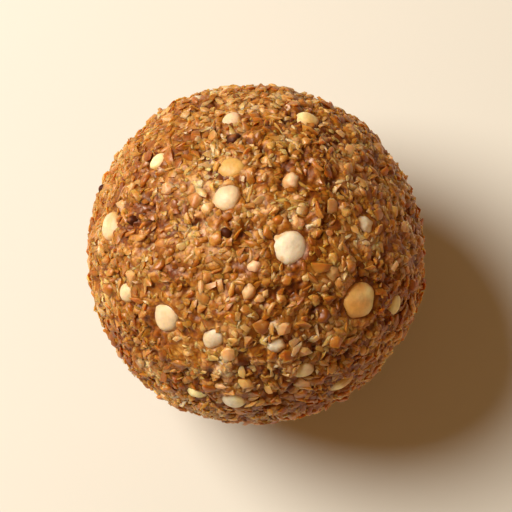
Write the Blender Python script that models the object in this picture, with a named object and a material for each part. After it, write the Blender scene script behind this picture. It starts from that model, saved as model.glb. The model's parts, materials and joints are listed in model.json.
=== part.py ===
"""A ladoo: a hand-rolled ball of ground nuts, seeds and jaggery, with chopped nuts pressed into it.

Metres, +Z up. The origin is under the middle of the ball, on the flat spot that it rests on.
Run it with: blender --background --python part.py
"""

import math
import random

import bmesh
import bpy
from mathutils import Matrix, Vector, noise

MM = 0.001

# The ball, and the flat spot that its own weight presses into it
BALL_DIAMETER = 45 * MM
FOOT_DIAMETER = 13 * MM
BALL_RADIUS = BALL_DIAMETER / 2
CENTRE_HEIGHT = math.sqrt(BALL_RADIUS**2 - (FOOT_DIAMETER / 2) ** 2)
BALL_SUBDIVISIONS = 5

# How far the rolled ball strays from round: broad dents from the palm, then crumbly lumps.
# The offset is where the dents' noise is read, which settles where they lie.
DENT_SIZE = 17 * MM
DENT_DEPTH = 0.32 * MM
DENT_OFFSET = Vector((3.1, 0.4, 7.7))
LUMP_SIZE = 4.2 * MM
LUMP_DEPTH = 0.32 * MM

# The coarse grain of the mix, one bump or pit at each point of the ball's mesh
GRAIN_DEPTH = 0.2 * MM

# The places of the nuts on top are read in a view from the front, this many degrees above the table
VIEW_ELEVATION = math.radians(80)
VIEW_RIGHT = Vector((1, 0, 0))
VIEW_UP = Vector((0, math.sin(VIEW_ELEVATION), math.cos(VIEW_ELEVATION)))
VIEW_TOWARDS = Vector((0, -math.cos(VIEW_ELEVATION), math.sin(VIEW_ELEVATION)))

# Chopped nuts on top, in millimetres and degrees: right and up of the ball's middle in that view,
# then the piece's length, width and turn from the view's right
TOP_NUTS = (
    (4.5, 1.1, 4.3, 4.0, 70),
    (13.4, -5.7, 5.2, 4.6, 80),
    (-11.8, -8.1, 3.8, 3.5, 80),
    (-5.6, -10.7, 2.8, 2.7, 20),
    (-3.8, 7.6, 3.4, 3.2, 30),
    (-3.2, 11.5, 3.0, 2.7, 0),
    (-19.2, 4.0, 3.8, 3.4, 80),
    (6.8, 18.1, 3.5, 2.7, -20),
    (-2.9, -19.0, 3.4, 2.7, 10),
    (11.3, -16.7, 3.5, 2.8, 30),
    (6.1, -14.9, 2.6, 2.1, 25),
    (2.5, -11.4, 2.1, 1.9, 0),
    (-0.9, -4.5, 2.3, 1.7, 75),
    (-0.2, -1.3, 1.7, 1.6, 0),
    (4.6, 9.8, 2.1, 1.7, 60),
    (14.1, 4.0, 2.2, 1.9, -40),
    (9.8, -2.1, 2.1, 1.8, -50),
    (-3.3, 18.1, 2.4, 2.0, 10),
    (-12.7, 12.4, 2.4, 1.8, 30),
    (-16.9, -4.8, 2.4, 1.9, 60),
    (-7.9, -18.2, 2.5, 1.8, 0),
    (18.2, -6.4, 2.4, 2.0, 80),
)

# Nuts under the small size get fewer faces
NUT_STANDS_OUT = 0.48 * MM
SMALL_NUT = 2.5 * MM

# The same mix of nuts goes on round the sides and underneath, spread by the golden angle.
# It starts where a direction leans this little towards the view, just inside the ball's outline.
SIDE_NUT_SPREAD = 58
SIDE_NUT_LEAN = 0.12
SIDE_NUT_SMALLEST = 1.7 * MM
SIDE_NUT_LARGEST = 4.3 * MM
SIDE_NUT_WIDTHS = (0.7, 0.95)

# Coarse crumbs between the nuts, their widths as shares of their lengths as above
CRUMB_SPREAD = 96
CRUMB_SMALLEST = 1.1 * MM
CRUMB_LARGEST = 1.8 * MM
CRUMB_WIDTHS = (0.6, 0.9)
CRUMB_STANDS_OUT = 0.3 * MM

# Every nut and crumb is this thick, and thicker by this share of its width, so that it is well rooted
THINNEST_PIECE = 0.8 * MM
THICKNESS_FOR_WIDTH = 0.3

# Each piece keeps these distances from the rim of the foot, so that the ladoo rests flat,
# and from the pieces beside it
FOOT_GAP = 1.5 * MM
PIECE_GAP = 0.25 * MM

CHIP_ROUGHNESS = 0.16
SHARP_ANGLE = math.radians(35)
GOLDEN_ANGLE = math.pi * (3 - math.sqrt(5))
SEED = 7

MIX_COLOUR = (0.35, 0.145, 0.045, 1)
MIX_ROUGHNESS = 0.6


def clear_scene():
    for obj in list(bpy.data.objects):
        bpy.data.objects.remove(obj)


def new_collection(name):
    collection = bpy.data.collections.new(name)
    bpy.context.scene.collection.children.link(collection)
    return collection


def mix_material():
    material = bpy.data.materials.new("ladoo_mix")
    material.use_nodes = True
    shader = material.node_tree.nodes["Principled BSDF"]
    shader.inputs["Base Color"].default_value = MIX_COLOUR
    shader.inputs["Roughness"].default_value = MIX_ROUGHNESS
    shader.inputs["Metallic"].default_value = 0
    return material


def lumps(direction):
    """How far the surface lies outside the round ball in this direction."""
    dent = noise.noise(direction * (BALL_RADIUS / DENT_SIZE) + DENT_OFFSET)
    nearest = noise.voronoi(direction * (BALL_RADIUS / LUMP_SIZE))[0]
    lump = 0.5 - min(1, nearest[0])
    return DENT_DEPTH * 2 * dent + LUMP_DEPTH * 2 * lump


def in_view(right, up):
    """The direction from the ball's middle to a point that the view shows this far right and up of it."""
    right_share = right * MM / BALL_RADIUS
    up_share = up * MM / BALL_RADIUS
    towards_share = math.sqrt(1 - right_share**2 - up_share**2)
    return VIEW_RIGHT * right_share + VIEW_UP * up_share + VIEW_TOWARDS * towards_share


def golden_directions(count):
    """Directions spread evenly over the ball, from the top down."""
    for i in range(count):
        height = 1 - (2 * i + 1) / count
        across = math.sqrt(1 - height**2)
        angle = i * GOLDEN_ANGLE
        yield Vector((across * math.cos(angle), across * math.sin(angle), height))


def lying_at(direction, turn):
    """The rotation that lays a piece on the ball, its own Z outwards and its X turned in the view."""
    across = (VIEW_RIGHT - VIEW_RIGHT.dot(direction) * direction).normalized()
    along = direction.cross(across)
    laid = Matrix((across, along, direction)).transposed()
    return (laid @ Matrix.Rotation(turn, 3, "Z")).to_4x4()


def fits(direction, length, placed):
    """True where a piece of this length is clear of the foot and of all the pieces placed so far."""
    from_axis = Vector((direction.x, direction.y)).length * BALL_RADIUS
    clear_of_foot = direction.z > 0 or from_axis > (FOOT_DIAMETER + length) / 2 + FOOT_GAP
    return clear_of_foot and all(
        (direction - other).length * BALL_RADIUS > (length + other_length) / 2 + PIECE_GAP
        for other, other_length, *_ in placed
    )


def chopped_nuts(draw):
    """Each nut piece as its direction, length, width and turn."""
    placed = []
    for right, up, length, width, turn in TOP_NUTS:
        placed.append((in_view(right, up), length * MM, width * MM, math.radians(turn)))
    for direction in golden_directions(SIDE_NUT_SPREAD):
        size = draw.random() ** 2
        length = SIDE_NUT_SMALLEST + size * (SIDE_NUT_LARGEST - SIDE_NUT_SMALLEST)
        width = length * draw.uniform(*SIDE_NUT_WIDTHS)
        turn = draw.uniform(0, math.tau)
        if direction.dot(VIEW_TOWARDS) < SIDE_NUT_LEAN and fits(direction, length, placed):
            placed.append((direction, length, width, turn))
    return placed


def coarse_crumbs(draw, nuts):
    """Each coarse crumb as its direction, length, width and turn."""
    crumbs = []
    for direction in golden_directions(CRUMB_SPREAD):
        length = draw.uniform(CRUMB_SMALLEST, CRUMB_LARGEST)
        width = length * draw.uniform(*CRUMB_WIDTHS)
        turn = draw.uniform(0, math.tau)
        if fits(direction, length, nuts + crumbs):
            crumbs.append((direction, length, width, turn))
    return crumbs


def pressed_ball(collection, draw):
    """The rolled ball with its grain, its underside pressed flat where it rests."""
    bm = bmesh.new()
    bmesh.ops.create_icosphere(bm, subdivisions=BALL_SUBDIVISIONS, radius=1)
    for vertex in bm.verts:
        direction = vertex.co.normalized()
        grain = draw.uniform(-GRAIN_DEPTH, GRAIN_DEPTH)
        point = direction * (BALL_RADIUS + lumps(direction) + grain)
        point.z = max(0, point.z + CENTRE_HEIGHT)
        vertex.co = point
    mesh = bpy.data.meshes.new("ladoo")
    bm.to_mesh(mesh)
    bm.free()
    ball = bpy.data.objects.new("ladoo", mesh)
    collection.objects.link(ball)
    return ball


def chip(collection, name, piece, subdivisions, stands_out, draw):
    """One crumb or nut piece, an uneven nugget that stands a little out of the ball."""
    direction, length, width, turn = piece
    thickness = THINNEST_PIECE + width * THICKNESS_FOR_WIDTH
    bm = bmesh.new()
    bmesh.ops.create_icosphere(bm, subdivisions=subdivisions, radius=0.5)
    for vertex in bm.verts:
        vertex.co *= 1 + draw.uniform(-CHIP_ROUGHNESS, CHIP_ROUGHNESS)
    bmesh.ops.scale(bm, vec=(length, width, thickness), verts=bm.verts)
    depth = BALL_RADIUS + lumps(direction) + stands_out - thickness / 2
    place = Matrix.Translation(Vector((0, 0, CENTRE_HEIGHT)) + direction * depth)
    bm.transform(place @ lying_at(direction, turn))
    mesh = bpy.data.meshes.new(name)
    bm.to_mesh(mesh)
    bm.free()
    collection.objects.link(bpy.data.objects.new(name, mesh))


def fuse(ball, pieces):
    """Joins every piece of the collection into the ball, in one solid."""
    union = ball.modifiers.new("fuse", "BOOLEAN")
    union.operation = "UNION"
    union.operand_type = "COLLECTION"
    union.collection = pieces
    union.solver = "EXACT"
    evaluated = ball.evaluated_get(bpy.context.evaluated_depsgraph_get())
    fused = bpy.data.meshes.new_from_object(evaluated)
    ball.modifiers.clear()
    ball.data = fused
    for obj in list(pieces.objects):
        bpy.data.objects.remove(obj)
    bpy.data.collections.remove(pieces)


def main():
    clear_scene()
    draw = random.Random(SEED)
    ladoo = new_collection("ladoo")
    pieces = new_collection("nuts_and_crumbs")
    nuts = chopped_nuts(draw)
    crumbs = coarse_crumbs(draw, nuts)
    ball = pressed_ball(ladoo, draw)
    for number, nut in enumerate(nuts):
        subdivisions = 2 if nut[1] > SMALL_NUT else 1
        chip(pieces, f"nut_{number}", nut, subdivisions, NUT_STANDS_OUT, draw)
    for number, crumb in enumerate(crumbs):
        chip(pieces, f"crumb_{number}", crumb, 1, CRUMB_STANDS_OUT, draw)
    fuse(ball, pieces)
    ball.data.materials.clear()
    ball.data.materials.append(mix_material())
    ball.data.shade_smooth()
    ball.data.set_sharp_from_angle(angle=SHARP_ANGLE)


main()
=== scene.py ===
"""The looks of a ladoo: ground nuts, seeds and jaggery pressed by hand into a ball, with chopped nuts.

Metres, +Z up. The ball rests on a small flat spot, with the origin under its middle.
"""

import json
import math
import random

import bmesh
import bpy
import numpy as np
from mathutils import Matrix, Vector, noise

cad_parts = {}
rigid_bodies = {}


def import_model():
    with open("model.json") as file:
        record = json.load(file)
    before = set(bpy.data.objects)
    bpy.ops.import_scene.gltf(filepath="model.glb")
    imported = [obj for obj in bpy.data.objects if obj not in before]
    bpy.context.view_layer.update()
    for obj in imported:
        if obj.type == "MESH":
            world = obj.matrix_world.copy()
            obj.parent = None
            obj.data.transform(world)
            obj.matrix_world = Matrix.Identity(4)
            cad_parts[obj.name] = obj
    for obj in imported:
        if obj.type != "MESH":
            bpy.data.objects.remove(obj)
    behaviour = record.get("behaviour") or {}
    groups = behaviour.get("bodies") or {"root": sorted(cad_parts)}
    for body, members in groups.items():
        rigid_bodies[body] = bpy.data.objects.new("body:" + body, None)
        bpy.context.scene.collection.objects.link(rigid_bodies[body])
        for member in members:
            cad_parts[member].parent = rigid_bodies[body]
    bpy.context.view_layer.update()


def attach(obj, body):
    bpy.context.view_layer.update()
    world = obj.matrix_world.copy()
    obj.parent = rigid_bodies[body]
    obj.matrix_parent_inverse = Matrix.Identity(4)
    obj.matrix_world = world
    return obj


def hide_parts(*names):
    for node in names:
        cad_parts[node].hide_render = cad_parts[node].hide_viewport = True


MM = 0.001

# The ball and its foot, as in the solid
BALL_DIAMETER = 45 * MM
FOOT_DIAMETER = 13 * MM
BALL_RADIUS = BALL_DIAMETER / 2
CENTRE_HEIGHT = math.sqrt(BALL_RADIUS**2 - (FOOT_DIAMETER / 2) ** 2)
CENTRE = Vector((0, 0, CENTRE_HEIGHT))

# The ball's skin starts as a cube whose edges are cut this often
SKIN_CUTS = 124

# Broad dents from the palm, then crumbly lumps, as in the solid.
# The offset is where the dents' noise is read, which settles where they lie.
DENT_SIZE = 17 * MM
DENT_DEPTH = 0.32 * MM
DENT_OFFSET = Vector((3.1, 0.4, 7.7))
LUMP_SIZE = 4.2 * MM
LUMP_DEPTH = 0.32 * MM

# The view from the front, this many degrees above the table, in which the nuts on top are placed
VIEW_ELEVATION = math.radians(80)
VIEW_RIGHT = Vector((1, 0, 0))
VIEW_UP = Vector((0, math.sin(VIEW_ELEVATION), math.cos(VIEW_ELEVATION)))
VIEW_TOWARDS = Vector((0, -math.cos(VIEW_ELEVATION), math.sin(VIEW_ELEVATION)))

# The colours of the nuts' cut faces
WHITE = "#F2E2C2"
CREAM = "#E6C89C"
CARAMEL = "#F2B45A"
BUTTER = "#FFE8A6"
GOLD = "#D4A452"
TAN = "#DEAC72"
PINK = "#F2C094"
OLIVE = "#BC9050"

# Chopped nuts on top, in millimetres and degrees: right and up of the ball's middle in the view,
# then length, width, turn from the view's right, how many sides it was chopped to, and the
# colours of its left and its right
TOP_NUTS = (
    (4.5, 1.1, 4.5, 4.2, 70, 6, WHITE, WHITE),
    (13.4, -5.7, 5.4, 5.0, 80, 11, CARAMEL, BUTTER),
    (-11.8, -8.1, 4.3, 4.0, 60, 9, CREAM, CREAM),
    (-5.6, -10.7, 3.2, 2.9, 60, 7, CREAM, WHITE),
    (-3.8, 7.6, 3.6, 3.4, 30, 6, CREAM, CREAM),
    (-3.2, 11.5, 3.2, 2.9, 0, 5, GOLD, GOLD),
    (-19.2, 4.0, 3.8, 3.4, 80, 5, CREAM, GOLD),
    (6.8, 18.1, 3.3, 2.6, -20, 5, BUTTER, GOLD),
    (-2.9, -19.0, 4.0, 3.2, 80, 6, WHITE, BUTTER),
    (11.3, -16.7, 3.5, 2.8, 30, 5, BUTTER, GOLD),
    (6.1, -14.9, 2.8, 2.3, 25, 5, BUTTER, CREAM),
    (2.5, -11.4, 2.4, 2.1, 0, 5, WHITE, CREAM),
    (-0.9, -4.5, 2.3, 1.7, 75, 6, TAN, TAN),
    (-0.2, -1.3, 1.7, 1.6, 0, 5, PINK, PINK),
    (4.6, 9.8, 2.1, 1.7, 60, 5, PINK, CREAM),
    (14.1, 4.0, 2.4, 2.1, -40, 4, WHITE, CREAM),
    (9.8, -2.1, 2.1, 1.8, -50, 5, OLIVE, TAN),
    (-3.3, 18.1, 2.6, 2.3, 10, 5, CREAM, PINK),
    (-12.7, 12.4, 2.7, 2.2, 30, 5, BUTTER, CREAM),
    (-16.9, -4.8, 2.7, 2.3, 60, 5, CREAM, BUTTER),
    (-7.9, -18.2, 3.0, 2.3, 0, 5, BUTTER, BUTTER),
    (18.2, -6.4, 2.9, 2.5, 80, 5, BUTTER, BUTTER),
)

# Amber bits of dried fruit that show on top, and dark flecks of skin on top. The flecks are set on dark
# hollows, so they are partly painted shade of those hollows.
APRICOT = "#C87620"
RUST = "#84460A"
SKIN = "#8C5020"
BLACKENED_SKIN_AND_GAP_SHADE = "#4A1E06"
TOP_FRUIT = (
    (2.9, 4.6, 1.6, 1.3, 20, 5, APRICOT, APRICOT),
    (8.75, -7.6, 1.9, 1.5, 60, 6, RUST, RUST),
)
TOP_SKINS_AND_HOLLOW_SHADE = (
    (-3.0, 15.5, 1.9, 1.6, 40, 6, SKIN, SKIN),
    (-16.0, 4.6, 1.3, 1.0, 10, 5, SKIN, SKIN),
    # This darkest fleck is painted shade of a gap between crumbs
    (-3.8, 2.9, 1.6, 1.1, 120, 5, BLACKENED_SKIN_AND_GAP_SHADE, BLACKENED_SKIN_AND_GAP_SHADE),
)

# Over the rest of the ball each kind is spread by the golden angle: how many would cover it all,
# the smallest and the largest, and the colours that they take in turn
SPREAD_NUTS = (58, 1.7 * MM, 4.3 * MM, (WHITE, CREAM, GOLD, TAN, PINK, OLIVE, TAN))
SPREAD_FRUIT = (14, 1.2 * MM, 2.0 * MM, (APRICOT, RUST))
SPREAD_SKINS = (22, 0.9 * MM, 1.7 * MM, (SKIN, SKIN, BLACKENED_SKIN_AND_GAP_SHADE))
GOLDEN_ANGLE = math.pi * (3 - math.sqrt(5))

# The rest of the ball starts where a direction leans this little towards the view. A piece there
# has one of these widths, as shares of its length, and one of these numbers of sides.
SPREAD_LEAN = 0.12
SPREAD_WIDTHS = (0.7, 0.95)
SPREAD_SIDES = (4, 5, 6, 7)

# Each piece keeps these distances from the rim of the foot and from the pieces beside it
FOOT_GAP = 1.5 * MM
PIECE_GAP = 0.25 * MM

# A piece is this thick, and thicker by this share of its width, and stands this far out
THINNEST_PIECE = 0.8 * MM
THICKNESS_FOR_WIDTH = 0.3
PIECE_STANDS_OUT = 0.26 * MM

# How the knife leaves a piece one unit long: how far its top leans, the facets on it, their leans
# and distances from its middle, and how far its sides turn aside, lean in and come nearer
TOP_LEAN = 0.1
TOP_FACETS = 3
FACET_LEANS = (0.3, 0.9)
FACET_REACHES = (0.44, 0.5)
SIDE_TURN = 0.16
SIDE_LEAN = 0.4
SIDE_NEARER = 0.4

# How the rolling leaves it. Large pieces are worn and small ones are broken: how sharp their edges
# are, how far their corners reach, the size and share of what their outline strays by, and how
# often their faces are divided.
WORN = (6, 0.525, 1.6 * MM, 0.1, 5)
BROKEN = (12, 0.6, 0.75 * MM, 0.2, 4)
SMALL_PIECE = 2.5 * MM

# The mix covers a piece's rim, so the piece is cut this much larger than what shows of it. Its rim
# droops, and its faces have a fine grain.
HIDDEN_RIM = 1.2
DROOP = 0.35 * MM
GRAIN_SIZE = 0.32 * MM
GRAIN_DEPTH = 0.03 * MM

# How steeply a piece's left colour gives way to its right one, and how unevenly
TINT_STEEPNESS = 1.6
TINT_UNEVENNESS = 0.5

# Each piece reads the noise at a place of its own, up to this far from the middle each way
NOISE_SPREAD = 50

# The crumbs pressed together in the surface: the size of each kind, how deep the gaps between
# them are, and how much of a crumb its rounded edge takes up
LARGE_CRUMB = 3.0 * MM
CRUMB = 1.5 * MM
FINE_CRUMB = 0.85 * MM
RELIEF = ((LARGE_CRUMB, 0.15 * MM, 0.2), (CRUMB, 0.25 * MM, 0.3), (FINE_CRUMB, 0.16 * MM, 0.32))

# How far each of them tilts, and lies above or below the next, as shares of that depth
CRUMB_TILT = 2.2
CRUMB_STEP = 1.1

# Noise bends their outlines, and deepens the gaps in some places and closes them in others. Its
# values mostly lie between the low and the high one.
WARP_SIZE = 1.3 * MM
WARP_REACH = 0.6 * MM
POCKET_SIZE = 2.4 * MM
POCKET_DEPTHS = (0.1, 1.8)
NOISE_LOW = 0.35
NOISE_HIGH = 0.65

# Patches that the palm has rubbed smooth keep this share of the relief. They begin where their
# noise passes the first value of the edge, and are fully smooth past the second.
SMOOTH_PATCH_SIZE = 7 * MM
SMOOTH_PATCH_EDGE = (0.42, 0.6)
SMOOTH_RELIEF = 0.45

# The mix creeps unevenly over a nut's rim. Up to the first distance inside the rim it isn't sunk,
# and past the second it is fully under the nut, at this depth.
CREEP_SIZE = 0.9 * MM
CREEP_REACH = 0.45 * MM
LEVEL_INSIDE = 0.15 * MM
SUNK_INSIDE = 0.6 * MM
UNDER_NUT = 0.5 * MM

# No point is lower than the table, and the other two coordinates stay as they are
ABOVE_TABLE = (-1, -1, 0)

# Broken chips: how many shapes each kind has, how far their corners reach, and the turn past which
# an edge stays sharp
CHIP_SHAPES = 12
CHIP_REACHES = (0.36, 0.58)
SHARP_ANGLE = math.radians(52)

# How they are spread: the power that makes small ones commoner, and the most of them in a square
# metre. They are thinnest up to the first value of their noise, and fully crowded past the second.
SMALL_CHIPS = 1.8
MOST_CHIPS = 4e6
THIN_PATCH_EDGE = (0.38, 0.58)

# Each kind of scattered chip: how many corners it has, its proportions, and how it is spread
SCATTERED = {
    "fine_crumbs": {
        "corners": 14, "proportions": (1, 0.62, 0.5),
        "values": {"Spacing": 0.9 * MM, "Smallest": 0.9 * MM, "Largest": 2.2 * MM, "Flatness": 0.8,
                   "Sunk": -0.33 * MM, "Tilt": 0.32, "Nut Gap": -0.1 * MM, "Share": 0.9,
                   "Thinnest": 0.5, "Darkest": 0.0, "Palest": 0.85, "Seed": 21},
    },
    "coarse_crumbs": {
        "corners": 20, "proportions": (1, 0.74, 0.64),
        "values": {"Spacing": 2.1 * MM, "Smallest": 1.6 * MM, "Largest": 2.9 * MM, "Flatness": 0.6,
                   "Sunk": -0.52 * MM, "Tilt": 0.2, "Nut Gap": 0.5 * MM, "Share": 0.85,
                   "Thinnest": 0.5, "Darkest": 0.0, "Palest": 1.0, "Seed": 22},
    },
    "nut_slivers": {
        "corners": 14, "proportions": (1, 0.38, 0.34),
        "values": {"Spacing": 1.1 * MM, "Smallest": 1.2 * MM, "Largest": 2.9 * MM, "Flatness": 0.9,
                   "Sunk": -0.26 * MM, "Tilt": 0.25, "Nut Gap": 0.1 * MM, "Share": 0.8,
                   "Thinnest": 0.6, "Darkest": 0.15, "Palest": 1.0, "Seed": 23},
    },
}

# Ground nut and jaggery from the darkest tone to the palest, for the mix and for the loose crumbs,
# and the tint that turns a crumb golden or rosy
MIX_TONES = ((0.15, "#743800"), (0.4, "#985C08"), (0.6, "#B47E2E"), (0.8, "#D0A26C"), (0.95, "#E0B888"))
CRUMB_TONES = ((0.1, "#804000"), (0.35, "#A46616"), (0.55, "#C08C48"), (0.75, "#DEB284"), (0.95, "#F2D2AE"))
GOLDEN_TO_ROSY = ((0.32, "#FFE690"), (0.66, "#FFEAE6"))

# The tone of a crumb of the mix or a loose one: a base, then what its own shade adds to it, and the
# fine grain on it
MIX_TONE = 0.04
MIX_SHADES = ((CRUMB, 0.42), (FINE_CRUMB, 0.3))
LOOSE_TONE = 0.18
LOOSE_SHADE = 0.42
GRAIN_SHADE = 0.2

# How far a patch shifts the tone of its crumbs, how much of a crumb's hue is its own and not its
# patch's, and how strongly the hue shows
BROWNING = 1.2
OWN_HUE = 0.35
HUE_STRENGTH = 0.8

# Painted shade in the gaps, partly dark syrup, a nut's toasted rim, painted shade at the rim of a skin, and
# clouds in dried fruit
GAP_SHADE_AND_SYRUP = "#662A00"
TOASTED = "#C88E48"
SKIN_RIM_SHADE = "#441A04"
CLOUDED_FRUIT = "#864A12"

# Sizes of the patterns in the materials, and heights of their bumps
BROWNING_SIZE = 6 * MM
FINE_GRAIN = 0.4 * MM
GRAIN_BUMP = 0.12 * MM
BLOTCH_SIZE = 0.9 * MM
FLESH_GRAIN = 0.25 * MM
FLESH_BUMP = 0.06 * MM
CLOUD_SIZE = 0.7 * MM

# The camera: its sensor in millimetres, its distance, and the share of the frame that the ball fills
SENSOR_WIDTH = 36
CAMERA_DISTANCE = 0.45
BALL_IN_FRAME = 0.66

# The lamps: each one's distance, size, power and colour, and how far the key slants from the view
KEY_LAMP = (0.6, 0.36, 5.85, "#FFF8F0")
KEY_SLANT = math.radians(46)
FILL_LAMP = (0.8, 0.6, 0.8, "#FFAC54")

SEED = 7


def linear(hex_colour):
    """An sRGB hex colour as linear red, green, blue and alpha."""
    shares = [int(hex_colour[i : i + 2], 16) / 255 for i in (1, 3, 5)]
    return [s / 12.92 if s <= 0.04045 else ((s + 0.055) / 1.055) ** 2.4 for s in shares] + [1]


def set_inputs(tree, node, inputs):
    """Sets a node's inputs to values, sockets, or nodes for their first output."""
    for key, value in inputs.items():
        if isinstance(value, bpy.types.Node):
            value = value.outputs[0]
        if isinstance(value, bpy.types.NodeSocket):
            tree.links.new(value, node.inputs[key])
        else:
            node.inputs[key].default_value = value


def add(tree, kind, settings, inputs, stops=()):
    """Adds a node with its settings and inputs and, on a colour ramp, its stops from low to high."""
    node = tree.nodes.new(kind)
    for name, value in settings.items():
        setattr(node, name, value)
    set_inputs(tree, node, inputs)
    for i, (place, colour) in enumerate(stops):
        ramp = node.color_ramp.elements
        stop = ramp[i] if i < 2 else ramp.new(place)
        stop.position = place
        stop.color = linear(colour)
    return node


def new_tree(name, sockets):
    """A Geometry Nodes tree with these named inputs, and its input node."""
    tree = bpy.data.node_groups.new(name, "GeometryNodeTree")
    for socket, kind in {"Geometry": "Geometry", **sockets}.items():
        tree.interface.new_socket(socket, in_out="INPUT", socket_type="NodeSocket" + kind)
    tree.interface.new_socket("Geometry", in_out="OUTPUT", socket_type="NodeSocketGeometry")
    return tree, tree.nodes.new("NodeGroupInput")


def made_by(tree, name, mesh, values):
    """The plain mesh object that the tree makes from a mesh with these values for its inputs."""
    obj = bpy.data.objects.new(name, mesh)
    bpy.context.scene.collection.objects.link(obj)
    modifier = obj.modifiers.new(name, "NODES")
    modifier.node_group = tree
    for item in tree.interface.items_tree:
        if item.in_out == "INPUT" and item.name in values:
            modifier[item.identifier] = values[item.name]
    evaluated = obj.evaluated_get(bpy.context.evaluated_depsgraph_get())
    made = bpy.data.meshes.new_from_object(evaluated)
    obj.modifiers.clear()
    obj.data = made
    made.name = name
    return obj


def lumps(direction):
    """How far the surface lies outside the round ball in this direction."""
    dent = noise.noise(direction * (BALL_RADIUS / DENT_SIZE) + DENT_OFFSET)
    nearest = noise.voronoi(direction * (BALL_RADIUS / LUMP_SIZE))[0]
    lump = 0.5 - min(1, nearest[0])
    return DENT_DEPTH * 2 * dent + LUMP_DEPTH * 2 * lump


def in_view(right, up):
    """The direction from the ball's middle to a point that the view shows this far right and up of it."""
    right_share = right * MM / BALL_RADIUS
    up_share = up * MM / BALL_RADIUS
    towards_share = math.sqrt(1 - right_share**2 - up_share**2)
    return VIEW_RIGHT * right_share + VIEW_UP * up_share + VIEW_TOWARDS * towards_share


def golden_directions(count):
    """Directions spread evenly over the ball, from the top down."""
    for i in range(count):
        height = 1 - (2 * i + 1) / count
        across = math.sqrt(1 - height**2)
        angle = i * GOLDEN_ANGLE
        yield Vector((across * math.cos(angle), across * math.sin(angle), height))


def laid_at(direction, turn):
    """The rotation that lays a piece on the ball, its own Z outwards and its X turned in the view."""
    across = (VIEW_RIGHT - VIEW_RIGHT.dot(direction) * direction).normalized()
    along = direction.cross(across)
    laid = Matrix((across, along, direction)).transposed()
    return laid @ Matrix.Rotation(turn, 3, "Z")


def fits(direction, length, placed):
    """True where a piece of this length is clear of the foot and of all the pieces placed so far."""
    from_axis = Vector((direction.x, direction.y)).length * BALL_RADIUS
    clear_of_foot = direction.z > 0 or from_axis > (FOOT_DIAMETER + length) / 2 + FOOT_GAP
    return clear_of_foot and all(
        (direction - other).length * BALL_RADIUS > (length + other_length) / 2 + PIECE_GAP
        for other, other_length, *_ in placed
    )


def laid_out(on_top, spread, taken, draw):
    """Each piece of a kind as its direction, length, width, turn, number of sides and two colours."""
    placed = []
    for right, up, length, width, turn, *rest in on_top:
        placed.append((in_view(right, up), length * MM, width * MM, math.radians(turn), *rest))
    count, smallest, largest, colours = spread
    for direction in golden_directions(count):
        length = smallest + draw.random() ** 2 * (largest - smallest)
        width = length * draw.uniform(*SPREAD_WIDTHS)
        turn = draw.uniform(0, math.tau)
        if direction.dot(VIEW_TOWARDS) < SPREAD_LEAN and fits(direction, length, placed + taken):
            number = len(placed)
            sides = SPREAD_SIDES[number % len(SPREAD_SIDES)]
            pair = [colours[(number + i) % len(colours)] for i in range(2)]
            placed.append((direction, length, width, turn, sides, *pair))
    return placed


def rolled_ball(pieces):
    """The ball's even skin of quads with its dents, lumps and foot, and each point's gap to a piece."""
    bm = bmesh.new()
    bmesh.ops.create_cube(bm, size=2)
    bmesh.ops.subdivide_edges(bm, edges=bm.edges[:], cuts=SKIN_CUTS, use_grid_fill=True)
    for vertex in bm.verts:
        direction = Vector([math.tan(share * math.pi / 4) for share in vertex.co]).normalized()
        point = CENTRE + direction * (BALL_RADIUS + lumps(direction))
        point.z = max(0, point.z)
        vertex.co = point
    mesh = bpy.data.meshes.new("ball_skin")
    bm.to_mesh(mesh)
    bm.free()
    points = np.zeros(len(mesh.vertices) * 3)
    mesh.vertices.foreach_get("co", points)
    away = points.reshape(-1, 3) - np.array(CENTRE)
    gap = np.full(len(away), BALL_RADIUS)
    for direction, length, width, turn, *_ in pieces:
        across, along, out = np.array(laid_at(direction, turn).transposed())
        half_length = length * HIDDEN_RIM / 2
        half_width = width * HIDDEN_RIM / 2
        share = np.hypot(away @ across / half_length, away @ along / half_width)
        gap = np.where(away @ out > 0, np.minimum(gap, (share - 1) * half_width), gap)
    mesh.attributes.new("nut_gap", "FLOAT", "POINT").data.foreach_set("value", gap)
    return mesh


def crumb_relief(tree, warp, pocket):
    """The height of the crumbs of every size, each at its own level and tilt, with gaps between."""
    total = 0.0
    for size, depth, edge_share in RELIEF:
        cell = {"Vector": warp, "Scale": 1 / size}
        grain = add(tree, "ShaderNodeTexVoronoi", {"feature": "F1"}, cell)
        edge = add(tree, "ShaderNodeTexVoronoi", {"feature": "DISTANCE_TO_EDGE"}, cell)
        gap = add(
            tree, "ShaderNodeMapRange", {"interpolation_type": "SMOOTHSTEP"},
            {"Value": edge, "From Min": 0.0, "From Max": edge_share, "To Min": -1.0, "To Max": 0.0},
        )
        lean = add(
            tree, "ShaderNodeVectorMath", {"operation": "SUBTRACT"},
            {0: grain.outputs["Color"], 1: [0.5] * 3},
        )
        apart = add(
            tree, "ShaderNodeVectorMath", {"operation": "SUBTRACT"},
            {0: warp, 1: grain.outputs["Position"]},
        )
        tilt = add(tree, "ShaderNodeVectorMath", {"operation": "DOT_PRODUCT"}, {0: apart, 1: lean})
        tilt = add(
            tree, "ShaderNodeMath", {"operation": "MULTIPLY"},
            {0: tilt.outputs["Value"], 1: CRUMB_TILT / size},
        )
        level = add(tree, "ShaderNodeSeparateXYZ", {}, {0: lean})
        level = add(tree, "ShaderNodeMath", {"operation": "MULTIPLY_ADD"}, {0: level, 1: CRUMB_STEP, 2: tilt})
        height = add(tree, "ShaderNodeMath", {"operation": "MULTIPLY_ADD"}, {0: gap, 1: pocket, 2: level})
        total = add(tree, "ShaderNodeMath", {"operation": "MULTIPLY_ADD"}, {0: height, 1: depth, 2: total})
    return total


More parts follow.
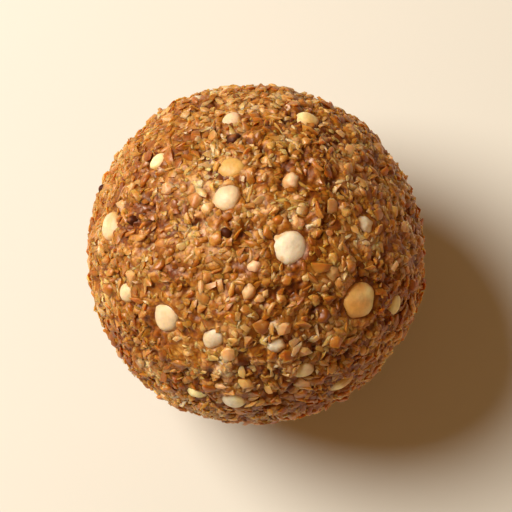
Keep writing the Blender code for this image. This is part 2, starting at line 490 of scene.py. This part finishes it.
def clear_of_nuts(tree, place):
    """1 where the mix shows and 0 where a nut hides it, with an uneven rim between."""
    gap = add(tree, "GeometryNodeInputNamedAttribute", {"data_type": "FLOAT"}, {"Name": "nut_gap"})
    creep = add(tree, "ShaderNodeTexNoise", {}, {"Vector": place, "Scale": 1 / CREEP_SIZE, "Detail": 1})
    gap = add(tree, "ShaderNodeMath", {"operation": "MULTIPLY_ADD"}, {0: creep, 1: 2 * CREEP_REACH, 2: gap})
    return add(
        tree, "ShaderNodeMapRange", {"interpolation_type": "SMOOTHSTEP"},
        {"Value": gap, "From Min": CREEP_REACH - SUNK_INSIDE, "From Max": CREEP_REACH - LEVEL_INSIDE},
    )


def crumbly_tree():
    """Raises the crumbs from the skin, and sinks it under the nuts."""
    sockets = {
        "Centre": "Vector", "Shallowest": "Float", "Deepest": "Float", "Smoothest": "Float",
        "Under Nuts": "Float", "Material": "Material",
    }
    tree, given = new_tree("crumbly_surface", sockets)
    get = given.outputs
    place = add(tree, "GeometryNodeInputPosition", {}, {})
    away = add(tree, "ShaderNodeVectorMath", {"operation": "SUBTRACT"}, {0: place, 1: get["Centre"]})
    out = add(tree, "ShaderNodeVectorMath", {"operation": "NORMALIZE"}, {0: away})
    warp = add(tree, "ShaderNodeTexNoise", {}, {"Vector": place, "Scale": 1 / WARP_SIZE, "Detail": 2})
    warp = add(
        tree, "ShaderNodeVectorMath", {"operation": "MULTIPLY_ADD"},
        {0: warp.outputs["Color"], 1: [2 * WARP_REACH] * 3, 2: place},
    )
    pocket = add(tree, "ShaderNodeTexNoise", {}, {"Vector": place, "Scale": 1 / POCKET_SIZE, "Detail": 1})
    pocket = add(
        tree, "ShaderNodeMapRange", {},
        {"Value": pocket, "From Min": NOISE_LOW, "From Max": NOISE_HIGH,
         "To Min": get["Shallowest"], "To Max": get["Deepest"]},
    )
    patch = add(
        tree, "ShaderNodeTexNoise", {},
        {"Vector": place, "Scale": 1 / SMOOTH_PATCH_SIZE, "Detail": 1},
    )
    patch = add(
        tree, "ShaderNodeMapRange", {"interpolation_type": "SMOOTHSTEP"},
        {"Value": patch, "From Min": SMOOTH_PATCH_EDGE[0], "From Max": SMOOTH_PATCH_EDGE[1],
         "To Min": 1.0, "To Max": get["Smoothest"]},
    )
    relief = crumb_relief(tree, warp, pocket)
    relief = add(tree, "ShaderNodeMath", {"operation": "MULTIPLY"}, {0: relief, 1: patch})
    rise = add(
        tree, "ShaderNodeMix", {"data_type": "FLOAT"},
        {"Factor": clear_of_nuts(tree, place), "A": get["Under Nuts"], "B": relief},
    )
    offset = add(tree, "ShaderNodeVectorMath", {"operation": "SCALE"}, {0: out, "Scale": rise})
    moved = add(tree, "ShaderNodeVectorMath", {"operation": "ADD"}, {0: place, 1: offset})
    moved = add(tree, "ShaderNodeVectorMath", {"operation": "MAXIMUM"}, {0: moved, 1: ABOVE_TABLE})
    skin = add(tree, "GeometryNodeSetPosition", {}, {"Geometry": get["Geometry"], "Position": moved})
    in_millimetres = add(tree, "ShaderNodeMath", {"operation": "DIVIDE"}, {0: rise, 1: MM})
    for name, kind, value in (("rise", "FLOAT", in_millimetres), ("packing", "FLOAT_VECTOR", warp)):
        skin = add(
            tree, "GeometryNodeStoreNamedAttribute", {"data_type": kind, "domain": "POINT"},
            {"Geometry": skin, "Name": name, "Value": value},
        )
    skin = add(tree, "GeometryNodeSetShadeSmooth", {}, {"Geometry": skin})
    skin = add(tree, "GeometryNodeRealizeInstances", {}, {"Geometry": skin})
    skin = add(tree, "GeometryNodeSetMaterial", {}, {"Geometry": skin, "Material": get["Material"]})
    add(tree, "NodeGroupOutput", {}, {"Geometry": skin})
    return tree


def chip_rotation(tree, spread, most):
    """Each chip flat on the surface, turned any way and tilted by this much at most."""
    least = add(tree, "ShaderNodeMath", {"operation": "MULTIPLY"}, {0: most, 1: -1.0})
    low = add(tree, "ShaderNodeCombineXYZ", {}, {0: least, 1: least, 2: -math.pi})
    high = add(tree, "ShaderNodeCombineXYZ", {}, {0: most, 1: most, 2: math.pi})
    tilt = add(
        tree, "FunctionNodeRandomValue", {"data_type": "FLOAT_VECTOR"},
        {"Min": low, "Max": high, "Seed": 3},
    )
    return add(
        tree, "FunctionNodeRotateRotation", {"rotation_space": "LOCAL"},
        {0: spread.outputs["Rotation"], 1: tilt},
    )


def scatter_tree():
    """Sets chips of given shapes into the surface, clear of the nuts, each with its own size and tilt."""
    sockets = {
        "Shapes": "Collection", "Spacing": "Float", "Smallest": "Float", "Largest": "Float",
        "Flatness": "Float", "Sunk": "Float", "Tilt": "Float", "Nut Gap": "Float", "Share": "Float",
        "Thinnest": "Float", "Darkest": "Float", "Palest": "Float", "Seed": "Int",
        "Material": "Material",
    }
    tree, given = new_tree("scattered_chips", sockets)
    get = given.outputs
    gap = add(tree, "GeometryNodeInputNamedAttribute", {"data_type": "FLOAT"}, {"Name": "nut_gap"})
    clear = add(tree, "ShaderNodeMath", {"operation": "GREATER_THAN"}, {0: gap, 1: get["Nut Gap"]})
    patch = add(
        tree, "ShaderNodeTexNoise", {"noise_dimensions": "4D"},
        {"W": get["Seed"], "Scale": 1 / SMOOTH_PATCH_SIZE, "Detail": 1},
    )
    patch = add(
        tree, "ShaderNodeMapRange", {"interpolation_type": "SMOOTHSTEP"},
        {"Value": patch, "From Min": THIN_PATCH_EDGE[0], "From Max": THIN_PATCH_EDGE[1],
         "To Min": get["Thinnest"], "To Max": 1.0},
    )
    crowding = add(tree, "ShaderNodeMath", {"operation": "MULTIPLY"}, {0: clear, 1: patch})
    spread = add(
        tree, "GeometryNodeDistributePointsOnFaces", {"distribute_method": "POISSON"},
        {"Mesh": get["Geometry"], "Distance Min": get["Spacing"], "Density Max": MOST_CHIPS,
         "Density Factor": crowding, "Seed": get["Seed"]},
    )
    kept = add(
        tree, "FunctionNodeRandomValue", {"data_type": "BOOLEAN"},
        {"Probability": get["Share"], "Seed": 11},
    )
    shapes = add(
        tree, "GeometryNodeCollectionInfo", {},
        {"Collection": get["Shapes"], "Separate Children": True, "Reset Children": True},
    )
    which = add(tree, "FunctionNodeRandomValue", {"data_type": "INT"}, {"Max": 1000, "Seed": 1})
    size = add(tree, "FunctionNodeRandomValue", {"data_type": "FLOAT"}, {"Seed": 2})
    size = add(tree, "ShaderNodeMath", {"operation": "POWER"}, {0: size.outputs["Value"], 1: SMALL_CHIPS})
    size = add(
        tree, "ShaderNodeMapRange", {},
        {"Value": size, "To Min": get["Smallest"], "To Max": get["Largest"]},
    )
    flat = add(tree, "ShaderNodeCombineXYZ", {}, {0: 1.0, 1: 1.0, 2: get["Flatness"]})
    scale = add(tree, "ShaderNodeVectorMath", {"operation": "SCALE"}, {0: flat, "Scale": size})
    chips = add(
        tree, "GeometryNodeInstanceOnPoints", {},
        {"Points": spread, "Selection": kept.outputs["Value"], "Instance": shapes, "Pick Instance": True,
         "Instance Index": which.outputs["Value"], "Rotation": chip_rotation(tree, spread, get["Tilt"]),
         "Scale": scale},
    )
    sunk = add(tree, "ShaderNodeCombineXYZ", {}, {2: get["Sunk"]})
    chips = add(tree, "GeometryNodeTranslateInstances", {}, {"Instances": chips, "Translation": sunk})
    tone = add(
        tree, "FunctionNodeRandomValue", {"data_type": "FLOAT"},
        {"Min": get["Darkest"], "Max": get["Palest"], "Seed": 5},
    )
    chips = add(
        tree, "GeometryNodeStoreNamedAttribute", {"data_type": "FLOAT", "domain": "INSTANCE"},
        {"Geometry": chips, "Name": "tone", "Value": tone.outputs["Value"]},
    )
    chips = add(tree, "GeometryNodeRealizeInstances", {}, {"Geometry": chips})
    place = add(tree, "GeometryNodeInputPosition", {}, {})
    place = add(tree, "ShaderNodeVectorMath", {"operation": "MAXIMUM"}, {0: place, 1: ABOVE_TABLE})
    chips = add(tree, "GeometryNodeSetPosition", {}, {"Geometry": chips, "Position": place})
    chips = add(tree, "GeometryNodeSetMaterial", {}, {"Geometry": chips, "Material": get["Material"]})
    add(tree, "NodeGroupOutput", {}, {"Geometry": chips})
    return tree


def chip_shapes(name, corners, proportions, draw):
    """A collection of broken chips one unit long: hulls round random corners."""
    shapes = bpy.data.collections.new(name)
    for number in range(CHIP_SHAPES):
        bm = bmesh.new()
        for _ in range(corners):
            corner = Vector([draw.gauss(0, 1) for _ in range(3)]).normalized() * draw.uniform(*CHIP_REACHES)
            bm.verts.new([c * p for c, p in zip(corner, proportions)])
        hull = bmesh.ops.convex_hull(bm, input=bm.verts)
        unused = hull["geom_interior"] + hull["geom_unused"]
        loose = {element for element in unused if isinstance(element, bmesh.types.BMVert)}
        bmesh.ops.delete(bm, geom=list(loose), context="VERTS")
        bmesh.ops.recalc_face_normals(bm, faces=bm.faces)
        mesh = bpy.data.meshes.new(f"{name}_{number}")
        bm.to_mesh(mesh)
        bm.free()
        mesh.shade_smooth()
        mesh.set_sharp_from_angle(angle=SHARP_ANGLE)
        shapes.objects.link(bpy.data.objects.new(mesh.name, mesh))
    return shapes


def knife_cuts(sides, draw):
    """The cuts that shape a piece one unit long, each as the way it faces and how far out it lies."""
    top = Vector((draw.uniform(-TOP_LEAN, TOP_LEAN), draw.uniform(-TOP_LEAN, TOP_LEAN), 1))
    cuts = [(Vector((0, 0, -1)), 0.5), (top, 0.5)]
    for _ in range(TOP_FACETS):
        angle = draw.uniform(0, math.tau)
        lean = draw.uniform(*FACET_LEANS)
        normal = Vector((math.cos(angle) * lean, math.sin(angle) * lean, 1)).normalized()
        cuts.append((normal, draw.uniform(*FACET_REACHES)))
    for side in range(sides):
        angle = math.tau * (side + draw.uniform(-SIDE_TURN, SIDE_TURN)) / sides
        normal = Vector((math.cos(angle), math.sin(angle), draw.uniform(0, SIDE_LEAN))).normalized()
        cuts.append((normal, draw.uniform(0.5 - SIDE_NEARER / sides, 0.5)))
    return cuts


def nugget(bm, piece, draw, tints, rims):
    """Adds one chopped piece: flat sides, a top broken into facets, and worn edges."""
    direction, length, width, turn, sides, left, right = piece
    thickness = THINNEST_PIECE + width * THICKNESS_FOR_WIDTH
    cuts = knife_cuts(sides, draw)
    wear = WORN if length > SMALL_PIECE else BROKEN
    sharpness, corner_reach, chip_size, chip_share, divisions = wear
    made = bmesh.ops.create_icosphere(bm, subdivisions=divisions, radius=1)["verts"]
    wander = Vector([draw.uniform(-NOISE_SPREAD, NOISE_SPREAD) for _ in range(3)])
    laid = laid_at(direction, turn)
    depth = BALL_RADIUS + lumps(direction) + PIECE_STANDS_OUT - thickness / 2
    for vertex in made:
        out = vertex.co.normalized()
        crowd = (math.hypot(out.x, out.y) / corner_reach) ** sharpness
        crowd += sum((max(0, out.dot(normal)) / reach) ** sharpness for normal, reach in cuts)
        point = out * crowd ** (-1 / sharpness)
        rim = math.hypot(point.x, point.y) * 2
        rims.append(rim)
        point = Vector((point.x * length * HIDDEN_RIM, point.y * width * HIDDEN_RIM, point.z * thickness))
        chipped = noise.noise(point / chip_size + wander)
        point *= 1 + chip_share * chipped
        point.z -= DROOP * rim**2
        point += out * GRAIN_DEPTH * noise.noise(point / GRAIN_SIZE + wander)
        place = laid @ point
        vertex.co = CENTRE + direction * depth + place
        share = 0.5 + place.dot(VIEW_RIGHT) / length * TINT_STEEPNESS + TINT_UNEVENNESS * chipped
        share = max(0, min(1, share)) ** 2
        tints.append([a + (b - a) * share for a, b in zip(linear(left), linear(right))])


def chopped_pieces(name, pieces, material, draw):
    """All the pieces of one kind in a mesh, with the colour of each point and how near a rim it is."""
    bm = bmesh.new()
    tints = []
    rims = []
    for piece in pieces:
        nugget(bm, piece, draw, tints, rims)
    mesh = bpy.data.meshes.new(name)
    bm.to_mesh(mesh)
    bm.free()
    mesh.attributes.new("tint", "FLOAT_COLOR", "POINT").data.foreach_set("color", np.ravel(tints))
    mesh.attributes.new("rim", "FLOAT", "POINT").data.foreach_set("value", rims)
    mesh.shade_smooth()
    mesh.materials.append(material)
    obj = bpy.data.objects.new(name, mesh)
    bpy.context.scene.collection.objects.link(obj)
    return obj


def scattered_chips(tree, name, kind, skin, material, draw):
    """All the chips of one kind in a mesh, spread over the skin."""
    shapes = chip_shapes(name, kind["corners"], kind["proportions"], draw)
    obj = made_by(tree, name, skin.copy(), {**kind["values"], "Shapes": shapes, "Material": material})
    for shape in list(shapes.objects):
        bpy.data.objects.remove(shape)
    bpy.data.collections.remove(shapes)
    return obj


def new_material(name):
    """A material with this name, its node tree and its shader."""
    material = bpy.data.materials.new(name)
    material.use_nodes = True
    tree = material.node_tree
    return material, tree, tree.nodes["Principled BSDF"]


def soften(shader, weight):
    """Lets light a little way into oily food, reddest deepest, which warms its shadows and edges."""
    shader.inputs["Subsurface Weight"].default_value = weight
    shader.inputs["Subsurface Radius"].default_value = (1.0, 0.5, 0.2)
    shader.inputs["Subsurface Scale"].default_value = 2.0 * MM


def browned(tree, place, tone, own, tones):
    """The colour of jaggery-coated nut for a tone of 0 to 1. Its own number, with the patch it lies in,
    turns each crumb golden or rosy.
    """
    patch = add(tree, "ShaderNodeTexNoise", {}, {"Vector": place, "Scale": 1 / BROWNING_SIZE, "Detail": 2.0})
    patch = add(tree, "ShaderNodeSeparateColor", {}, {0: patch.outputs["Color"]})
    shift = add(
        tree, "ShaderNodeMath", {"operation": "MULTIPLY_ADD"},
        {0: patch.outputs["Green"], 1: BROWNING, 2: -BROWNING / 2},
    )
    tone = add(tree, "ShaderNodeMath", {"operation": "ADD"}, {0: tone, 1: shift})
    crumb = add(tree, "ShaderNodeValToRGB", {}, {0: tone}, stops=tones)
    own = add(tree, "ShaderNodeMath", {"operation": "MULTIPLY"}, {0: own, 1: OWN_HUE})
    hue = add(
        tree, "ShaderNodeMath", {"operation": "MULTIPLY_ADD"},
        {0: patch.outputs["Red"], 1: 1 - OWN_HUE, 2: own},
    )
    hue = add(tree, "ShaderNodeValToRGB", {}, {0: hue}, stops=GOLDEN_TO_ROSY)
    body = add(
        tree, "ShaderNodeMix", {"data_type": "RGBA", "blend_type": "MULTIPLY"},
        {"Factor": HUE_STRENGTH, "A": crumb, "B": hue},
    )
    return body.outputs["Result"]


def mix_material():
    """Ground nuts in jaggery and ghee, pressed by hand: brown, crumbly, glossy with syrup and oil."""
    material, tree, shader = new_material("jaggery_and_ground_nut")
    place = add(tree, "ShaderNodeTexCoord", {}, {}).outputs["Object"]
    packing = add(tree, "ShaderNodeAttribute", {"attribute_name": "packing"}, {})
    rise = add(tree, "ShaderNodeAttribute", {"attribute_name": "rise"}, {})
    tone = MIX_TONE
    for size, share in MIX_SHADES:
        cell = {"Vector": packing.outputs["Vector"], "Scale": 1 / size}
        grain = add(tree, "ShaderNodeTexVoronoi", {"feature": "F1"}, cell)
        shade = add(tree, "ShaderNodeSeparateColor", {}, {0: grain.outputs["Color"]})
        tone = add(tree, "ShaderNodeMath", {"operation": "MULTIPLY_ADD"}, {0: shade, 1: share, 2: tone})
    edge = add(tree, "ShaderNodeTexVoronoi", {"feature": "DISTANCE_TO_EDGE"}, cell)
    fine = add(tree, "ShaderNodeTexNoise", {}, {"Vector": place, "Scale": 1 / FINE_GRAIN, "Detail": 3.0})
    tone = add(tree, "ShaderNodeMath", {"operation": "MULTIPLY_ADD"}, {0: fine, 1: GRAIN_SHADE, 2: tone})
    body = browned(tree, place, tone, shade.outputs["Green"], MIX_TONES)
    # Painted shade, partly dark syrup, fills the gaps, by their rise in millimetres, and the seams between
    # fine crumbs
    high = add(
        tree, "ShaderNodeMapRange", {"interpolation_type": "SMOOTHSTEP"},
        {"Value": rise.outputs["Fac"], "From Min": -0.75, "From Max": -0.15},
    )
    seam = add(
        tree, "ShaderNodeMapRange", {"interpolation_type": "SMOOTHSTEP"},
        {"Value": edge, "From Min": 0.0, "From Max": 0.2, "To Min": 0.65},
    )
    high = add(tree, "ShaderNodeMath", {"operation": "MULTIPLY"}, {0: high, 1: seam})
    colour = add(
        tree, "ShaderNodeMix", {"data_type": "RGBA"},
        {"Factor": high, "A": linear(GAP_SHADE_AND_SYRUP), "B": body},
    )
    bump = add(tree, "ShaderNodeMath", {"operation": "MULTIPLY_ADD"}, {0: seam, 1: 0.8, 2: fine})
    bump = add(tree, "ShaderNodeBump", {}, {"Height": bump, "Strength": 0.3, "Distance": GRAIN_BUMP})
    rough = add(
        tree, "ShaderNodeMapRange", {},
        {"Value": fine, "From Min": NOISE_LOW, "From Max": NOISE_HIGH, "To Min": 0.38, "To Max": 0.6},
    )
    set_inputs(tree, shader, {
        "Base Color": colour.outputs["Result"], "Roughness": rough, "Normal": bump,
        "Specular IOR Level": 0.6, "Specular Tint": linear("#FFE8D0"),
    })
    soften(shader, 0.8)
    return material


def crumb_material():
    """Broken bits of roasted nut and seed, coated in jaggery: tan to brown, each its own shade."""
    material, tree, shader = new_material("roasted_nut_crumb")
    place = add(tree, "ShaderNodeTexCoord", {}, {}).outputs["Object"]
    drawn = add(tree, "ShaderNodeAttribute", {"attribute_name": "tone"}, {}).outputs["Fac"]
    own = add(tree, "ShaderNodeMath", {"operation": "MULTIPLY"}, {0: drawn, 1: 9.0})
    own = add(tree, "ShaderNodeMath", {"operation": "FRACT"}, {0: own})
    fine = add(tree, "ShaderNodeTexNoise", {}, {"Vector": place, "Scale": 1 / FINE_GRAIN, "Detail": 3.0})
    tone = add(
        tree, "ShaderNodeMath", {"operation": "MULTIPLY_ADD"},
        {0: fine, 1: GRAIN_SHADE, 2: LOOSE_TONE},
    )
    tone = add(tree, "ShaderNodeMath", {"operation": "MULTIPLY_ADD"}, {0: drawn, 1: LOOSE_SHADE, 2: tone})
    colour = browned(tree, place, tone, own, CRUMB_TONES)
    bump = add(tree, "ShaderNodeBump", {}, {"Height": fine, "Strength": 0.25, "Distance": GRAIN_BUMP})
    rough = add(
        tree, "ShaderNodeMapRange", {},
        {"Value": fine, "From Min": NOISE_LOW, "From Max": NOISE_HIGH, "To Min": 0.32, "To Max": 0.52},
    )
    set_inputs(tree, shader, {
        "Base Color": colour, "Roughness": rough, "Normal": bump,
        "Specular IOR Level": 0.7, "Specular Tint": linear("#FFEEDC"),
    })
    soften(shader, 0.8)
    return material


def nut_material():
    """Chopped cashew and peanut: pale waxy flesh, toasted and smeared with jaggery at the rim."""
    material, tree, shader = new_material("chopped_nut_flesh")
    place = add(tree, "ShaderNodeTexCoord", {}, {}).outputs["Object"]
    tint = add(tree, "ShaderNodeAttribute", {"attribute_name": "tint"}, {}).outputs["Color"]
    rim = add(tree, "ShaderNodeAttribute", {"attribute_name": "rim"}, {}).outputs["Fac"]
    # The rim is 0 at the middle of a piece and about 1 at its edge, and blotches make it uneven
    blotch = add(tree, "ShaderNodeTexNoise", {}, {"Vector": place, "Scale": 1 / BLOTCH_SIZE, "Detail": 3.0})
    edge = add(tree, "ShaderNodeMath", {"operation": "MULTIPLY_ADD"}, {0: blotch, 1: 0.9, 2: rim})
    edge = add(
        tree, "ShaderNodeMapRange", {"interpolation_type": "SMOOTHSTEP"},
        {"Value": edge, "From Min": 1.0, "From Max": 1.5, "To Max": 0.85},
    )
    shade = add(
        tree, "ShaderNodeMapRange", {},
        {"Value": blotch, "From Min": 0.3, "From Max": 0.7, "To Min": 0.8, "To Max": 1.06},
    )
    flesh = add(
        tree, "ShaderNodeMix", {"data_type": "RGBA", "blend_type": "MULTIPLY"},
        {"Factor": 1.0, "A": tint, "B": shade},
    )
    colour = add(
        tree, "ShaderNodeMix", {"data_type": "RGBA"},
        {"Factor": edge, "A": flesh.outputs["Result"], "B": linear(TOASTED)},
    )
    grain = add(tree, "ShaderNodeTexNoise", {}, {"Vector": place, "Scale": 1 / FLESH_GRAIN, "Detail": 3.0})
    bump = add(tree, "ShaderNodeBump", {}, {"Height": grain, "Strength": 0.35, "Distance": FLESH_BUMP})
    set_inputs(tree, shader, {"Base Color": colour.outputs["Result"], "Roughness": 0.5, "Normal": bump})
    soften(shader, 0.3)
    return material


def skin_material():
    """Papery skin of roasted nuts: thin, dark red-brown and dull."""
    material, tree, shader = new_material("roasted_nut_skin")
    place = add(tree, "ShaderNodeTexCoord", {}, {}).outputs["Object"]
    tint = add(tree, "ShaderNodeAttribute", {"attribute_name": "tint"}, {}).outputs["Color"]
    rim = add(tree, "ShaderNodeAttribute", {"attribute_name": "rim"}, {}).outputs["Fac"]
    streak = add(tree, "ShaderNodeTexNoise", {}, {"Vector": place, "Scale": 1 / FINE_GRAIN, "Detail": 2.0})
    # Painted shade darkens each fleck towards its rim, by the rim and a streaky noise
    rim_shade = add(tree, "ShaderNodeMath", {"operation": "MULTIPLY_ADD"}, {0: streak, 1: 0.6, 2: rim})
    rim_shade = add(tree, "ShaderNodeMapRange", {}, {"Value": rim_shade, "From Min": 0.5, "From Max": 0.85})
    colour = add(
        tree, "ShaderNodeMix", {"data_type": "RGBA"},
        {"Factor": rim_shade, "A": tint, "B": linear(SKIN_RIM_SHADE)},
    )
    set_inputs(tree, shader, {
        "Base Color": colour.outputs["Result"], "Roughness": 0.55, "Specular IOR Level": 0.2,
    })
    return material


def fruit_material():
    """Chopped dried fruit: sticky, amber, a little see-through."""
    material, tree, shader = new_material("dried_fruit")
    place = add(tree, "ShaderNodeTexCoord", {}, {}).outputs["Object"]
    tint = add(tree, "ShaderNodeAttribute", {"attribute_name": "tint"}, {}).outputs["Color"]
    cloud = add(tree, "ShaderNodeTexNoise", {}, {"Vector": place, "Scale": 1 / CLOUD_SIZE, "Detail": 2.0})
    cloud = add(
        tree, "ShaderNodeMapRange", {},
        {"Value": cloud, "From Min": 0.3, "From Max": 0.7, "To Max": 0.7},
    )
    colour = add(
        tree, "ShaderNodeMix", {"data_type": "RGBA"},
        {"Factor": cloud, "A": tint, "B": linear(CLOUDED_FRUIT)},
    )
    set_inputs(tree, shader, {"Base Color": colour.outputs["Result"], "Roughness": 0.38})
    soften(shader, 0.4)
    return material


def floor_material():
    """Matt painted board: pale, even and plain."""
    material, tree, shader = new_material("matt_painted_board")
    set_inputs(tree, shader, {"Base Color": linear("#DEDCD0"), "Roughness": 0.85})
    return material


def floor():
    """A plain pale floor, which isn't part of the ladoo."""
    bpy.ops.mesh.primitive_plane_add(size=3)
    obj = bpy.context.object
    obj.name = "floor"
    obj.data.materials.append(floor_material())


def lamp(name, direction, distance, size, power, colour):
    """A round lamp in this direction from the ball's middle, turned to face it."""
    light = bpy.data.lights.new(name, "AREA")
    light.shape = "DISK"
    light.size = size
    light.energy = power
    light.color = linear(colour)[:3]
    obj = bpy.data.objects.new(name, light)
    obj.location = CENTRE + direction.normalized() * distance
    obj.rotation_euler = direction.to_track_quat("Z", "Y").to_euler()
    bpy.context.scene.collection.objects.link(obj)


def studio():
    """Soft light: a key from the view's upper left, a weak fill from its right and a dim room."""
    upper_left = VIEW_UP * 0.53 - VIEW_RIGHT * 0.85
    lamp("key", VIEW_TOWARDS * math.cos(KEY_SLANT) + upper_left * math.sin(KEY_SLANT), *KEY_LAMP)
    lamp("fill", VIEW_RIGHT * 0.9 + Vector((0, -0.4, 0.5)), *FILL_LAMP)
    world = bpy.data.worlds.new("studio")
    world.use_nodes = True
    backdrop = world.node_tree.nodes["Background"]
    set_inputs(world.node_tree, backdrop, {"Color": linear("#FFCC90"), "Strength": 0.16})
    bpy.context.scene.world = world
    bpy.context.scene.view_settings.view_transform = "Standard"


def camera():
    """Looks down from the front at the view's elevation, with the ball filling two thirds of the frame."""
    lens = bpy.data.cameras.new("camera")
    lens.sensor_width = SENSOR_WIDTH
    lens.lens = SENSOR_WIDTH * CAMERA_DISTANCE / (BALL_DIAMETER / BALL_IN_FRAME)
    lens.clip_start = 0.01
    obj = bpy.data.objects.new("camera", lens)
    obj.location = CENTRE + VIEW_TOWARDS * CAMERA_DISTANCE
    obj.rotation_euler = VIEW_TOWARDS.to_track_quat("Z", "Y").to_euler()
    bpy.context.scene.collection.objects.link(obj)
    bpy.context.scene.camera = obj


def main():
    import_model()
    draw = random.Random(SEED)
    nuts = laid_out(TOP_NUTS, SPREAD_NUTS, [], draw)
    fruit = laid_out(TOP_FRUIT, SPREAD_FRUIT, nuts, draw)
    # The flecks on top are skin, and partly painted shade of the hollows that they are set in
    skins = laid_out(TOP_SKINS_AND_HOLLOW_SHADE, SPREAD_SKINS, nuts + fruit, draw)
    mass = made_by(
        crumbly_tree(), "ladoo_mass", rolled_ball(nuts + fruit + skins),
        {"Centre": CENTRE, "Shallowest": POCKET_DEPTHS[0], "Deepest": POCKET_DEPTHS[1],
         "Smoothest": SMOOTH_RELIEF, "Under Nuts": -UNDER_NUT, "Material": mix_material()},
    )
    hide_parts("ladoo")
    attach(mass, "root")
    for name, pieces, material, slot in (
        ("nut_pieces", nuts, nut_material(), "nut_pieces"),
        ("fruit_pieces", fruit, fruit_material(), "fruit_bits"),
        ("skin_flecks", skins, skin_material(), "fruit_bits"),
    ):
        obj = chopped_pieces(name, pieces, material, draw)
        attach(obj, "root")
    tree = scatter_tree()
    crumb = crumb_material()
    for name, kind in SCATTERED.items():
        obj = scattered_chips(tree, name, kind, mass.data, crumb, draw)
        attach(obj, "root")
    floor()
    studio()
    camera()


main()
